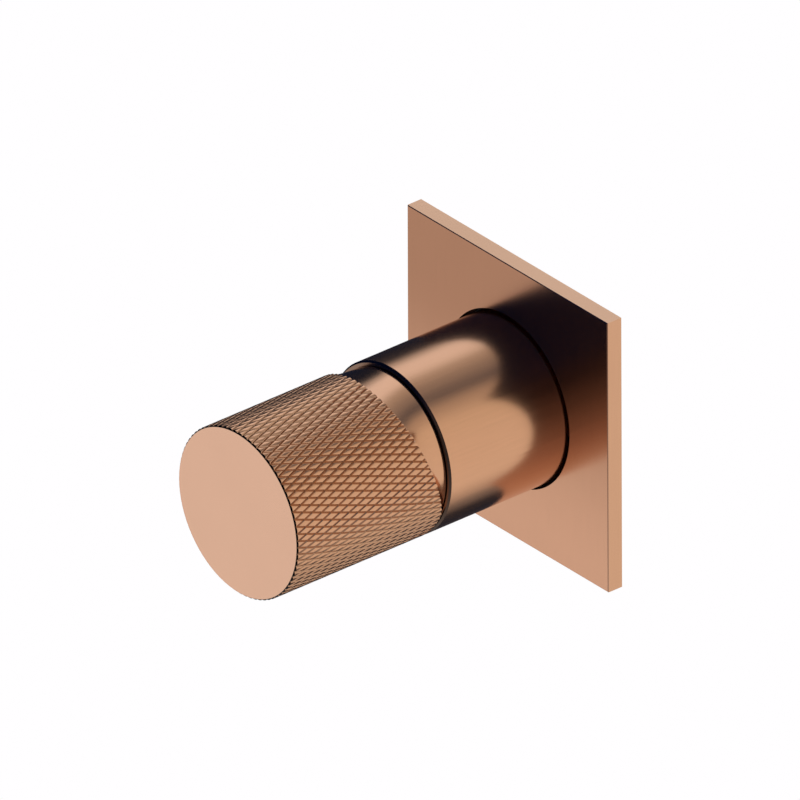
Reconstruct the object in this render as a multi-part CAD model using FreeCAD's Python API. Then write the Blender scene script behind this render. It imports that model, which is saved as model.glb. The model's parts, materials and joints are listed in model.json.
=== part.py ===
import FreeCAD
import Part
import math
import os

# Concealed shower mixer with a knurled knob.
# Millimetres. X is right as seen from the front, Y runs into the wall, Z is up.
# The origin is the centre of the wall plate's back, which lies on the wall at Y = 0.
# The knob, the sleeve and the cartridge share the Y axis.
# Angles are seen from the front: 0 is right, 90 is up.

# Driving dimensions

# Wall plate
PLATE_SIDE = 80.0
PLATE_THICKNESS = 4.7
PLATE_EDGE = 0.2
PLATE_RIM = 3.0
PLATE_RECESS = 2.2
RECESS_CORNER = 3.0
COLLAR_WALL = 4.0
COLLAR_REACH = 6.0
PLATE_SEAL_SECTION = 2.0
PLATE_SEAL_DEPTH = 2.0

# Sleeve
SLEEVE_WALL = 1.875
SLEEVE_REACH = 39.4
SLEEVE_STANDOFF = 4.0
SLEEVE_FRONT_EDGE = 0.5
SLEEVE_INNER_EDGE = 0.15
SLEEVE_LEAD_IN = 0.7
PLATE_GAP = 0.88

# Knob. Its neck sets the width of the sleeve, and the sleeve that of all it holds.
KNOB_REACH = 51.35
KNURL_PITCH = 2.0
KNURL_ANGLE = 19.2
KNURL_DEPTH = 0.45
KNURL_CHAMFER = 0.45
KNURL_SLANT = 16.0
KNURL_STANDOFF = 1.2
FLARE_STANDOFF = 0.3
FLARE_SINK = 0.05
FLARE_STEPS = 5
FLARE_SIDES = 80
NECK_DIAMETER = 42.7
NECK_GAP = 0.65
NECK_SHOWN = 4.0
NECK_HIDDEN = 6.0
NECK_WALL = 3.35
NECK_EDGE = 0.3
FACE_THICKNESS = 4.0
CAVITY_STEP = 2.5

# Handle adapter and its screws
ADAPTER_RIM_DEPTH = 8.0
ADAPTER_RIM_WALL = 4.4
ADAPTER_WEB = 2.5
ADAPTER_HUB_DIAMETER = 16.0
ADAPTER_HUB_LENGTH = 17.0
ADAPTER_FRONT_WALL = 1.0
ADAPTER_RIB = 1.4
ADAPTER_RIBS = 6
GRUB_DIAMETER = 5.0
GRUB_LENGTH = 5.0
GRUB_SINK = 0.4
GRUB_TIP = 0.9
GRUB_SOCKET = 2.5
GRUB_SOCKET_DEPTH = 2.2
GRUB_FROM_SLEEVE = 5.3
SCREW_DIAMETER = 4.0
SCREW_LENGTH = 10.0
SCREW_HEAD_DIAMETER = 8.2
SCREW_HEAD_HEIGHT = 2.4
SCREW_CROSS_WIDTH = 1.1
SCREW_CROSS_DEPTH = 1.4

# Spindle
SPINDLE_DIAMETER = 10.0
SPINDLE_FLANGE_DIAMETER = 17.0
SPINDLE_FLANGE = 2.0
SPLINE_RUNOUT = 2.0
SPLINE_DIAMETER = 8.4
SPLINE_TOOTH = 0.45
SPLINE_TEETH = 20
FLATS_WIDTH = 8.6
TONGUE_WIDTH = 12.0
TONGUE_THICKNESS = 5.0
TONGUE_LENGTH = 2.8
SPINDLE_SEAL_SECTION = 1.5
SPINDLE_SEAL_PLACE = 5.0
CLIP_THICKNESS = 0.8
CLIP_DIAMETER = 13.6
CLIP_BITE = 0.8
CLIP_OPENING = 70.0
SLIDE_WASHER = 0.5

# Stops of the turn
TURN_RANGE = 120.0
STOP_AT_REST = 210.0
STOP_FINGER_ANGLE = 22.0
STOP_FINGER_ROOM = 0.8
STOP_WASHER_THICKNESS = 2.0
STOP_WASHER_WIDTH = 2.5
LIMIT_RING_WIDTH = 4.5
LIMIT_RING_THICKNESS = 2.2
LIMIT_TEETH = 24
LIMIT_TOOTH = 0.4
STOP_BOSS_WIDTH = 3.8

# Cartridge
CARTRIDGE_GAP = 0.15
HOUSING_WALL = 1.6
HOUSING_END = 2.9
HOUSING_NECK_SHARE = 0.5476
HOUSING_NECK_LENGTH = 10.0
BASE_FLANGE = 2.0
BASE_PLUG = 4.0
FIXED_DISC = 3.0
FIXED_DISC_GAP = 0.55
MOVING_DISC = 3.5
DISC_STEP = 2.0
DRIVER_THICKNESS = 4.0
DRIVER_STEP = 0.2
DOG_HEIGHT = 1.5
DOG_ANGLE = 20.0
DOG_WIDTH = 3.0
DISC_KEY_ANGLE = 10.0
DISC_KEY_HEIGHT = 1.2
DISC_KEYS = (200.0, 340.0)
RECESS_DEPTH = 1.8
RECESS_START = -37.0
RECESS_SWEEP = 64.0
PORT_INNER_SHARE = 0.455
PORT_OUTER_SHARE = 0.833
PORT_SWEEP = 40.0
COLD_PORT_START = 30.0
HOT_PORT_START = 110.0
CENTRE_PORT_SHARE = 0.242
SEAL_WALL = 1.0
SEAL_THICKNESS = 1.2
PEG_RADIUS = 1.5
PEG_LENGTH = 2.3
PEG_INSET = 4.85
PEG_ANGLES = (235.0, 305.0)

# Cartridge nut
NUT_SINK = 4.1
NUT_BORE_GAP = 1.0
NUT_HEAD = 3.0
NUT_FLATS_INSET = 1.5

# Sleeve carrier
CARRIER_GAP = 0.235
CARRIER_WALL = 1.715
CARRIER_SETBACK = 4.0
CARRIER_FRONT_LIP = 1.5
CARRIER_LIP = 1.5
CARRIER_NOTCH = 4.0
CARRIER_NOTCHES = 4
CARRIER_HEAD_ROOM = 1.0
SLEEVE_SEAL_SECTION = 1.1
SLEEVE_SEAL_PLACES = (3.5, 17.0)

# Valve body
CHAMBER_FLOOR = 10.0
BODY_NECK_WALL = 2.5
FLOOR_WALL = 2.0
BODY_DIAMETER = 43.0
BODY_BACK_DIAMETER = 30.0
ARM_DIAMETER = 27.0
ARM_REACH = 45.0
ARM_FLARE = 2.0
ARM_ROOM = 0.5
ARM_HEX_LENGTH = 11.0
ARM_HEX_FLATS = 28.0
PORT_THREAD_RADIUS = 9.3
PORT_THREAD_LENGTH = 15.0
PASSAGE_RADIUS = 6.5
INLET_END = 6.0
OUTLET_FEED_RADIUS = 3.6
OUTLET_WIDE_END = 14.0
INLET_HOLE_RADIUS = 2.8
INLET_HOLE_X_SHARE = 0.568
INLET_HOLE_Z_SHARE = 0.341
LUG_SPACING = 52.0
LUG_RADIUS = 6.5
LUG_THICKNESS = 6.0
LUG_WEB = 8.0
LUG_HOLE_RADIUS = 2.75

# Clearances
SLIP = 0.05
EASE = 0.3
TOUCH = 1e-6

# Depths along the axis, worked out from the sizes above
PLATE_FRONT = -PLATE_THICKNESS
SLEEVE_FRONT = PLATE_FRONT - SLEEVE_REACH
KNURL_BACK = SLEEVE_FRONT - KNURL_STANDOFF
FLARE_BACK = SLEEVE_FRONT - FLARE_STANDOFF
KNOB_FRONT = SLEEVE_FRONT - KNOB_REACH
NECK_BACK = SLEEVE_FRONT + NECK_HIDDEN
GRUB_DEPTH = SLEEVE_FRONT - GRUB_FROM_SLEEVE
ADAPTER_FRONT = GRUB_DEPTH - ADAPTER_RIM_DEPTH / 2
SPINDLE_FRONT = ADAPTER_FRONT + ADAPTER_FRONT_WALL
SPLINE_BACK = ADAPTER_FRONT + ADAPTER_HUB_LENGTH + SPLINE_RUNOUT
BASE_BACK = CHAMBER_FLOOR
BASE_STEP = BASE_BACK - BASE_FLANGE
BASE_FRONT = BASE_STEP - BASE_PLUG
FIXED_DISC_FRONT = BASE_FRONT - FIXED_DISC
MOVING_DISC_FRONT = FIXED_DISC_FRONT - MOVING_DISC
DRIVER_FRONT = MOVING_DISC_FRONT - DRIVER_THICKNESS
FLANGE_FRONT = DRIVER_FRONT - SPINDLE_FLANGE
HOUSING_INSIDE = FLANGE_FRONT - SLIDE_WASHER
HOUSING_SHOULDER = HOUSING_INSIDE - HOUSING_END
HOUSING_FRONT = HOUSING_SHOULDER - HOUSING_NECK_LENGTH
CHAMBER_MOUTH = HOUSING_SHOULDER - NUT_SINK
NUT_STEP = CHAMBER_MOUTH - EASE
NUT_FRONT = NUT_STEP - NUT_HEAD
LIMIT_BACK = HOUSING_FRONT + LIMIT_RING_THICKNESS
STOP_BACK = HOUSING_FRONT - EASE
STOP_FRONT = STOP_BACK - STOP_WASHER_THICKNESS
CLIP_BACK = STOP_FRONT - SLIP
CLIP_FRONT = CLIP_BACK - CLIP_THICKNESS
CARRIER_FRONT = NUT_FRONT - CARRIER_HEAD_ROOM - CARRIER_FRONT_LIP
BODY_SHOULDER = CHAMBER_FLOOR + FLOOR_WALL
SLEEVE_TAIL = BODY_SHOULDER - SLEEVE_STANDOFF
CARRIER_BACK = SLEEVE_TAIL - CARRIER_SETBACK
PORT_AXIS_DEPTH = BODY_SHOULDER + ARM_ROOM + ARM_FLARE + ARM_DIAMETER / 2
BODY_BACK = PORT_AXIS_DEPTH + ARM_DIAMETER / 2 + ARM_FLARE + ARM_ROOM

# Radii worked out from the sizes above
NECK_OUTER = NECK_DIAMETER / 2
SLEEVE_INNER = NECK_OUTER + NECK_GAP
SLEEVE_OUTER = SLEEVE_INNER + SLEEVE_WALL
CREST = SLEEVE_OUTER
GROOVE_FLOOR = CREST - KNURL_DEPTH
FACE_RADIUS = CREST - KNURL_CHAMFER
FLARE_OUTER = GROOVE_FLOOR - FLARE_SINK
PLATE_BORE = SLEEVE_OUTER + PLATE_GAP
COLLAR_OUTER = PLATE_BORE + COLLAR_WALL
NECK_BORE = NECK_OUTER - NECK_WALL
CAVITY_RADIUS = NECK_BORE - CAVITY_STEP
ADAPTER_OUTER = NECK_BORE - SLIP
CARRIER_OUTER = SLEEVE_INNER - CARRIER_GAP
CARRIER_INNER = CARRIER_OUTER - CARRIER_WALL
BODY_NECK = CARRIER_INNER - SLIP
CHAMBER_RADIUS = BODY_NECK - BODY_NECK_WALL
HOUSING_OUTER = CHAMBER_RADIUS - CARTRIDGE_GAP
HOUSING_INNER = HOUSING_OUTER - HOUSING_WALL
HOUSING_NECK = HOUSING_OUTER * HOUSING_NECK_SHARE
LIMIT_OUTER = HOUSING_NECK + LIMIT_RING_WIDTH
STOP_FINGER_RADIUS = LIMIT_OUTER - STOP_FINGER_ROOM
STOP_BOSS_INNER = LIMIT_OUTER - STOP_BOSS_WIDTH
FIXED_DISC_RADIUS = HOUSING_INNER - FIXED_DISC_GAP
MOVING_DISC_RADIUS = FIXED_DISC_RADIUS - DISC_STEP
DRIVER_RADIUS = MOVING_DISC_RADIUS - DRIVER_STEP
DOG_INNER_RADIUS = DRIVER_RADIUS - DOG_WIDTH
DISC_KEY_RADIUS = FIXED_DISC_RADIUS - DISC_KEY_HEIGHT
PORT_INNER_RADIUS = MOVING_DISC_RADIUS * PORT_INNER_SHARE
PORT_OUTER_RADIUS = MOVING_DISC_RADIUS * PORT_OUTER_SHARE
CENTRE_PORT_RADIUS = MOVING_DISC_RADIUS * CENTRE_PORT_SHARE
PEG_CIRCLE = HOUSING_OUTER - PEG_INSET
SPINDLE_RADIUS = SPINDLE_DIAMETER / 2
SPINDLE_BORE = SPINDLE_RADIUS + SLIP
CLIP_SEAT = SPINDLE_RADIUS - CLIP_BITE

CENTRE = FreeCAD.Vector(0, 0, 0)
INTO_WALL = FreeCAD.Vector(0, 1, 0)
OUT_OF_WALL = FreeCAD.Vector(0, -1, 0)
RIGHT = FreeCAD.Vector(1, 0, 0)
UP = FreeCAD.Vector(0, 0, 1)


# Basic forms

def turned(*profile):
    """A piece turned on the Y axis, from the (radius, depth) corners of its half section."""
    corners = [FreeCAD.Vector(radius, depth, 0) for radius, depth in profile]
    section = Part.Face(Part.makePolygon(corners + corners[:1]))
    return section.revolve(CENTRE, INTO_WALL, 360)


def rod(radius, front, back, x=0.0, z=0.0):
    """A round rod along Y."""
    return Part.makeCylinder(radius, back - front, FreeCAD.Vector(x, front, z), INTO_WALL)


def ring(outer, inner, front, back):
    """A plain ring on the Y axis."""
    return rod(outer, front, back).cut(rod(inner, front, back))


def o_ring(middle_radius, section, depth):
    """A round sealing ring on the Y axis."""
    return Part.makeTorus(middle_radius, section / 2, FreeCAD.Vector(0, depth, 0), INTO_WALL)


def sector(inner, outer, front, back, start, sweep):
    """A part of a ring, from an angle on, counter-clockwise as seen from the front."""
    corners = [
        FreeCAD.Vector(inner, front, 0),
        FreeCAD.Vector(outer, front, 0),
        FreeCAD.Vector(outer, back, 0),
        FreeCAD.Vector(inner, back, 0),
    ]
    section = Part.Face(Part.makePolygon(corners + corners[:1]))
    section.rotate(CENTRE, OUT_OF_WALL, start)
    return section.revolve(CENTRE, OUT_OF_WALL, sweep)


def splined(radius, tooth, teeth, front, back):
    """A shaft with straight teeth round it."""
    corners = []
    for step in range(4 * teeth):
        turn = math.radians(360.0 * step / (4 * teeth))
        reach = radius if step % 4 < 2 else radius - tooth
        corners.append(FreeCAD.Vector(reach * math.cos(turn), front, reach * math.sin(turn)))
    outline = Part.Face(Part.makePolygon(corners + corners[:1]))
    return outline.extrude(FreeCAD.Vector(0, back - front, 0))


def hexagon(flats, start, length, direction):
    """A hexagonal bar from a start point along a direction."""
    radius = flats / 2 / math.cos(math.radians(30))
    corners = []
    for side in range(6):
        angle = math.radians(60 * side)
        corners.append(FreeCAD.Vector(radius * math.cos(angle), radius * math.sin(angle), 0))
    bar = Part.Face(Part.makePolygon(corners + corners[:1])).extrude(FreeCAD.Vector(0, 0, length))
    bar.Placement = FreeCAD.Placement(start, FreeCAD.Rotation(UP, direction))
    return bar


def block(width, height, front, back):
    """A block centred on the Y axis."""
    return Part.makeBox(width, back - front, height, FreeCAD.Vector(-width / 2, front, -height / 2))


def rounded_block(side, corner, front, back):
    """A square block centred on the Y axis, with its four long edges rounded."""
    square = block(side, side, front, back)
    long_edges = [edge for edge in square.Edges if abs(edge.tangentAt(edge.FirstParameter).y) > 0.5]
    return square.makeFillet(corner, long_edges)


def turned_about_axis(shape, angle):
    """A copy turned about the Y axis, counter-clockwise as seen from the front."""
    copy = shape.copy()
    copy.rotate(CENTRE, OUT_OF_WALL, angle)
    return copy


# Trim on the wall

def wall_plate():
    """Square plate with a recess in its back and a collar that holds the seal of the sleeve."""
    plate = block(PLATE_SIDE, PLATE_SIDE, PLATE_FRONT, 0)
    front_edges = [edge for edge in plate.Edges if edge.BoundBox.YMax < PLATE_FRONT + PLATE_EDGE]
    plate = plate.makeChamfer(PLATE_EDGE, front_edges)
    recess_side = PLATE_SIDE - 2 * PLATE_RIM
    plate = plate.cut(rounded_block(recess_side, RECESS_CORNER, -PLATE_RECESS, 1))
    plate = plate.fuse(rod(COLLAR_OUTER, -PLATE_RECESS - EASE, COLLAR_REACH))
    plate = plate.cut(rod(PLATE_BORE, PLATE_FRONT - 1, COLLAR_REACH + 1))
    half_groove = PLATE_SEAL_SECTION / 2 + SLIP
    groove_radius = SLEEVE_OUTER + PLATE_SEAL_SECTION + 2 * SLIP
    return plate.cut(rod(groove_radius, PLATE_SEAL_DEPTH - half_groove, PLATE_SEAL_DEPTH + half_groove))


def plate_gasket():
    """Foam gasket that fills the recess of the plate."""
    side = PLATE_SIDE - 2 * PLATE_RIM - 2 * EASE
    gasket = rounded_block(side, RECESS_CORNER - EASE, -PLATE_RECESS, 0)
    return gasket.cut(rod(COLLAR_OUTER + EASE, -PLATE_RECESS - 1, 1))


def plate_seal():
    """Round ring in the collar's groove, which grips the sleeve."""
    middle = SLEEVE_OUTER + SLIP + PLATE_SEAL_SECTION / 2
    return o_ring(middle, PLATE_SEAL_SECTION, PLATE_SEAL_DEPTH)


def sleeve():
    """Smooth trim tube with broken edges in front and a lead-in for the seals at the back."""
    return turned(
        (SLEEVE_INNER + SLEEVE_INNER_EDGE, SLEEVE_FRONT),
        (SLEEVE_OUTER - SLEEVE_FRONT_EDGE, SLEEVE_FRONT),
        (SLEEVE_OUTER, SLEEVE_FRONT + SLEEVE_FRONT_EDGE),
        (SLEEVE_OUTER, SLEEVE_TAIL),
        (SLEEVE_INNER + SLEEVE_LEAD_IN, SLEEVE_TAIL),
        (SLEEVE_INNER, SLEEVE_TAIL - 2 * SLEEVE_LEAD_IN),
        (SLEEVE_INNER, SLEEVE_FRONT + SLEEVE_INNER_EDGE),
    )


def sleeve_carrier():
    """Threaded cap on the neck of the body, with two seal grooves and spanner notches in its lip."""
    lip_bore = CARRIER_INNER - CARRIER_LIP
    carrier = turned(
        (lip_bore, CARRIER_FRONT),
        (CARRIER_OUTER - EASE, CARRIER_FRONT),
        (CARRIER_OUTER, CARRIER_FRONT + EASE),
        (CARRIER_OUTER, CARRIER_BACK),
        (CARRIER_INNER, CARRIER_BACK),
        (CARRIER_INNER, CARRIER_FRONT + CARRIER_FRONT_LIP),
        (lip_bore, CARRIER_FRONT + CARRIER_FRONT_LIP),
    )
    floor = SLEEVE_INNER - SLEEVE_SEAL_SECTION - 2 * SLIP
    half_groove = SLEEVE_SEAL_SECTION / 2 + SLIP
    for place in SLEEVE_SEAL_PLACES:
        middle = CARRIER_FRONT + place
        carrier = carrier.cut(ring(CARRIER_OUTER + 1, floor, middle - half_groove, middle + half_groove))
    notch_base = lip_bore + CARRIER_NOTCH / 2
    for number in range(CARRIER_NOTCHES):
        notch = Part.makeBox(
            notch_base,
            CARRIER_FRONT_LIP + 2,
            CARRIER_NOTCH,
            FreeCAD.Vector(0, CARRIER_FRONT - 1, -CARRIER_NOTCH / 2),
        )
        carrier = carrier.cut(turned_about_axis(notch, number * 360.0 / CARRIER_NOTCHES))
    return carrier


def sleeve_o_rings():
    """The two rings between carrier and sleeve."""
    middle = SLEEVE_INNER - SLIP - SLEEVE_SEAL_SECTION / 2
    rings = [o_ring(middle, SLEEVE_SEAL_SECTION, CARRIER_FRONT + place) for place in SLEEVE_SEAL_PLACES]
    return Part.makeCompound(rings)


# Knob

def on_knob(radius, turn, depth):
    """A point on the knob by its radius, its turn in radians and its depth."""
    return FreeCAD.Vector(radius * math.cos(turn), depth, radius * math.sin(turn))


def facet(*corners):
    """A flat face between its corners."""
    return Part.Face(Part.makePolygon(list(corners) + [corners[0]]))


def knurl_gap(height):
    """How far in front of the sleeve the knurl ends, at a height above the axis."""
    return max(KNURL_STANDOFF, NECK_SHOWN + height * math.tan(math.radians(KNURL_SLANT)))


def kept_corners(corners, distance):
    """The corners of a flat facet that is cut off where a distance to a plane is above zero."""
    kept = []
    for number, corner in enumerate(corners):
        previous = corners[number - 1]
        here = distance(corner)
        before = distance(previous)
        if here * before < 0:
            kept.append(previous + (corner - previous) * (before / (before - here)))
        if here <= 0:
            kept.append(corner)
    return kept


def behind_flat_end(point):
    """How far a point lies behind the lower, flat end of the knurl."""
    return point.y - KNURL_BACK


def behind_slant(point):
    """How far a point lies behind the slanting end of the knurl."""
    return point.y - SLEEVE_FRONT + NECK_SHOWN + point.z * math.tan(math.radians(KNURL_SLANT))


def flare_turns():
    """The turns of the flare's corners in radians, with one at each end of the slant."""
    bend = math.asin((KNURL_STANDOFF - NECK_SHOWN) / math.tan(math.radians(KNURL_SLANT)) / FLARE_OUTER)
    above = [bend + (math.pi - 2 * bend) * side / FLARE_SIDES for side in range(FLARE_SIDES)]
    below = [math.pi - bend + (math.pi + 2 * bend) * side / FLARE_SIDES for side in range(FLARE_SIDES)]
    return above + below


def flare_point(turn, share):
    """A point on the flare, whose share runs from 0 at the round neck to 1 at the end of the knurl."""
    start = NECK_OUTER - FLARE_SINK
    radius = start + (FLARE_OUTER - start) * share ** 2
    length = knurl_gap(FLARE_OUTER * math.sin(turn)) - FLARE_STANDOFF
    return on_knob(radius, turn, FLARE_BACK - length * share)


def flare_facets():
    """The smooth flare from the round neck to the slanting end of the knurl, and its round foot."""
    turns = flare_turns()
    facets = []
    for number, turn in enumerate(turns):
        before = turns[number - 1]
        for step in range(FLARE_STEPS):
            near = step / FLARE_STEPS
            far = (step + 1) / FLARE_STEPS
            corner = flare_point(before, near)
            across = flare_point(turn, far)
            facets.append((corner, across, flare_point(turn, near)))
            facets.append((corner, flare_point(before, far), across))
    facets.append([flare_point(turn, 0) for turn in turns])
    return facets


def end_facet(points, distance, side):
    """
    One flat end of the knurl, round the flare.

    It joins those of the points that lie on it to the flare's end. The side is 1 for the upper end,
    which slants, and -1 for the lower one.
    """
    def turn_from_middle(point):
        return math.atan2(point.x, side * point.z)

    outline = []
    for point in sorted((p for p in points if abs(distance(p)) < TOUCH), key=turn_from_middle):
        if not outline or (point - outline[-1]).Length > TOUCH:
            outline.append(point)
    flare_end = [flare_point(turn, 1) for turn in flare_turns()]
    inner = sorted((p for p in flare_end if abs(distance(p)) < TOUCH), key=turn_from_middle)
    return outline + inner[::-1]


def knurled_drum():
    """
    The knurled part of the knob and the flare behind it as one solid drum.

    Two sets of grooves cross at the same angle to the axis and leave rows of diamonds. Each diamond
    is a low pyramid: its crest lies level with the sleeve, and its four corners, where grooves
    cross, lie on the groove floor. The front is chamfered to the face radius, and the back ends on
    a slant, with the longest neck on top.
    """
    count = round(2 * math.pi * CREST / KNURL_PITCH)
    half = math.pi / count
    first = KNOB_FRONT + KNURL_CHAMFER
    step = half * CREST / math.tan(math.radians(KNURL_ANGLE))
    rows = math.ceil((KNURL_BACK - first) / step)
    facets = []
    for row in range(rows + 1):
        depth = first + row * step
        for tooth in range(count):
            turn = (2 * tooth + 1 + row % 2) * half
            crest = on_knob(CREST, turn, depth)
            left = on_knob(GROOVE_FLOOR, turn - half, depth)
            right = on_knob(GROOVE_FLOOR, turn + half, depth)
            if row > 0:
                ahead = on_knob(GROOVE_FLOOR, turn, depth - step)
                facets.append((crest, left, ahead))
                facets.append((crest, ahead, right))
            if row < rows:
                behind = on_knob(GROOVE_FLOOR, turn, depth + step)
                facets.append((crest, behind, left))
                facets.append((crest, right, behind))
            if row == 0:
                end_left = on_knob(FACE_RADIUS, turn - half, KNOB_FRONT)
                end_right = on_knob(FACE_RADIUS, turn + half, KNOB_FRONT)
                facets.append((crest, end_left, end_right))
                facets.append((crest, left, end_left))
                facets.append((crest, end_right, right))
    facets.append([on_knob(FACE_RADIUS, 2 * tooth * half, KNOB_FRONT) for tooth in range(count)])
    kept = []
    points = []
    for corners in facets:
        for distance in (behind_flat_end, behind_slant):
            corners = kept_corners(corners, distance)
        if len(corners) > 2:
            kept.append(corners)
            points.extend(corners)
    kept.append(end_facet(points, behind_flat_end, -1))
    kept.append(end_facet(points, behind_slant, 1))
    skin = Part.makeShell([facet(*corners) for corners in kept + flare_facets()])
    skin.sewShape()
    return Part.makeSolid(skin)


def knob():
    """One machined piece: a knurled cup with a closed face and a smooth neck behind it."""
    neck = turned(
        (0, FLARE_BACK),
        (NECK_OUTER, FLARE_BACK),
        (NECK_OUTER, NECK_BACK - NECK_EDGE),
        (NECK_OUTER - NECK_EDGE, NECK_BACK),
        (0, NECK_BACK),
    )
    hollow = turned(
        (0, KNOB_FRONT + FACE_THICKNESS),
        (CAVITY_RADIUS, KNOB_FRONT + FACE_THICKNESS),
        (CAVITY_RADIUS, ADAPTER_FRONT),
        (NECK_BORE, ADAPTER_FRONT),
        (NECK_BORE, NECK_BACK - NECK_EDGE),
        (NECK_BORE + NECK_EDGE, NECK_BACK),
        (NECK_BORE + NECK_EDGE, NECK_BACK + 1),
        (0, NECK_BACK + 1),
    )
    thread = Part.makeCylinder(
        GRUB_DIAMETER / 2 + SLIP,
        CREST - NECK_BORE + 2,
        FreeCAD.Vector(0, GRUB_DEPTH, -CREST - 1),
        UP,
    )
    return knurled_drum().fuse(neck).cut(hollow.fuse(thread))


def grub_screw():
    """Hexagon socket set screw at the underside of the knob, pointing at the axis."""
    outside = -NECK_OUTER + GRUB_SINK
    radius = GRUB_DIAMETER / 2
    shank = Part.makeCylinder(radius, GRUB_LENGTH - GRUB_TIP, FreeCAD.Vector(0, GRUB_DEPTH, outside), UP)
    tip_start = FreeCAD.Vector(0, GRUB_DEPTH, outside + GRUB_LENGTH - GRUB_TIP)
    tip = Part.makeCone(radius, radius - GRUB_TIP, GRUB_TIP, tip_start, UP)
    socket = hexagon(GRUB_SOCKET, FreeCAD.Vector(0, GRUB_DEPTH, outside), GRUB_SOCKET_DEPTH, UP)
    return shank.fuse(tip).cut(socket)


def handle_adapter():
    """Moulded insert that turns the knob's bore into a splined socket for the spindle."""
    rim_back = ADAPTER_FRONT + ADAPTER_RIM_DEPTH
    hub = ADAPTER_HUB_DIAMETER / 2
    rim_inner = ADAPTER_OUTER - ADAPTER_RIM_WALL
    web_back = ADAPTER_FRONT + ADAPTER_WEB
    adapter = turned(
        (0, ADAPTER_FRONT),
        (ADAPTER_OUTER - EASE, ADAPTER_FRONT),
        (ADAPTER_OUTER, ADAPTER_FRONT + EASE),
        (ADAPTER_OUTER, rim_back),
        (rim_inner, rim_back),
        (rim_inner, web_back),
        (hub, web_back),
        (hub, ADAPTER_FRONT + ADAPTER_HUB_LENGTH - EASE),
        (hub - EASE, ADAPTER_FRONT + ADAPTER_HUB_LENGTH),
        (0, ADAPTER_FRONT + ADAPTER_HUB_LENGTH),
    )
    rib = Part.makeBox(
        rim_inner - hub + 1,
        ADAPTER_RIM_DEPTH - 2 * EASE,
        ADAPTER_RIB,
        FreeCAD.Vector(hub - 0.5, ADAPTER_FRONT + EASE, -ADAPTER_RIB / 2),
    )
    for number in range(ADAPTER_RIBS):
        adapter = adapter.fuse(turned_about_axis(rib, (number + 0.5) * 360.0 / ADAPTER_RIBS))
    socket = splined(
        SPLINE_DIAMETER / 2 + SLIP,
        SPLINE_TOOTH,
        SPLINE_TEETH,
        SPINDLE_FRONT,
        ADAPTER_FRONT + ADAPTER_HUB_LENGTH + 1,
    )
    screw_hole = rod(SCREW_DIAMETER / 2 + EASE, ADAPTER_FRONT - 1, SPINDLE_FRONT + 1)
    tip_depth = NECK_OUTER - GRUB_SINK - GRUB_LENGTH - SLIP
    dimple = Part.makeCylinder(
        GRUB_DIAMETER / 2 + SLIP,
        NECK_OUTER - tip_depth,
        FreeCAD.Vector(0, GRUB_DEPTH, -NECK_OUTER),
        UP,
    )
    return adapter.cut(socket.fuse(screw_hole).fuse(dimple))


def adapter_screw():
    """Pan head screw with a cross recess, in the end of the spindle."""
    head_front = ADAPTER_FRONT - SCREW_HEAD_HEIGHT
    head = SCREW_HEAD_DIAMETER / 2
    shank = SCREW_DIAMETER / 2
    screw = turned(
        (0, head_front),
        (head * 0.7, head_front),
        (head, head_front + SCREW_HEAD_HEIGHT / 2),
        (head, ADAPTER_FRONT),
        (shank, ADAPTER_FRONT),
        (shank, ADAPTER_FRONT + SCREW_LENGTH - EASE),
        (shank - EASE, ADAPTER_FRONT + SCREW_LENGTH),
        (0, ADAPTER_FRONT + SCREW_LENGTH),
    )
    for width, height in ((SCREW_CROSS_WIDTH, head), (head, SCREW_CROSS_WIDTH)):
        screw = screw.cut(block(width, height, head_front - 1, head_front + SCREW_CROSS_DEPTH))
    return screw


# Cartridge, from the knob to the body

def cartridge_spindle():
    """Turned spindle with a splined end, flats for the stop washer and a tongue for the driver."""
    flange = SPINDLE_FLANGE_DIAMETER / 2
    spindle = turned(
        (0, SPLINE_BACK),
        (SPINDLE_RADIUS - EASE, SPLINE_BACK),
        (SPINDLE_RADIUS, SPLINE_BACK + EASE),
        (SPINDLE_RADIUS, FLANGE_FRONT),
        (flange, FLANGE_FRONT),
        (flange, DRIVER_FRONT),
        (0, DRIVER_FRONT),
    )
    splines = splined(SPLINE_DIAMETER / 2, SPLINE_TOOTH, SPLINE_TEETH, SPINDLE_FRONT, SPLINE_BACK)
    spindle = spindle.fuse(splines)
    tongue = block(TONGUE_WIDTH, TONGUE_THICKNESS, DRIVER_FRONT, DRIVER_FRONT + TONGUE_LENGTH)
    spindle = spindle.fuse(tongue)
    around = ring(SPINDLE_RADIUS + 1, CLIP_SEAT, CLIP_FRONT - SLIP, CLIP_BACK + SLIP)
    half_groove = SPINDLE_SEAL_SECTION / 2 + SLIP
    seal_depth = HOUSING_FRONT + SPINDLE_SEAL_PLACE
    seal_floor = SPINDLE_RADIUS - SPINDLE_SEAL_SECTION - SLIP
    seal_groove = ring(SPINDLE_RADIUS + 1, seal_floor, seal_depth - half_groove, seal_depth + half_groove)
    beyond_flats = rod(SPINDLE_RADIUS + 1, SPLINE_BACK, STOP_BACK + SLIP).cut(
        block(FLATS_WIDTH, 3 * SPINDLE_RADIUS, SPLINE_BACK - 1, STOP_BACK + 1)
    )
    screw_hole = rod(SCREW_DIAMETER / 2 + SLIP, SPINDLE_FRONT - 1, ADAPTER_FRONT + SCREW_LENGTH + 1)
    return spindle.cut(around).cut(seal_groove).cut(beyond_flats).cut(screw_hole)


def spindle_o_ring():
    """Seal between spindle and housing."""
    middle = SPINDLE_RADIUS - SPINDLE_SEAL_SECTION / 2
    return o_ring(middle, SPINDLE_SEAL_SECTION, HOUSING_FRONT + SPINDLE_SEAL_PLACE)


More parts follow.
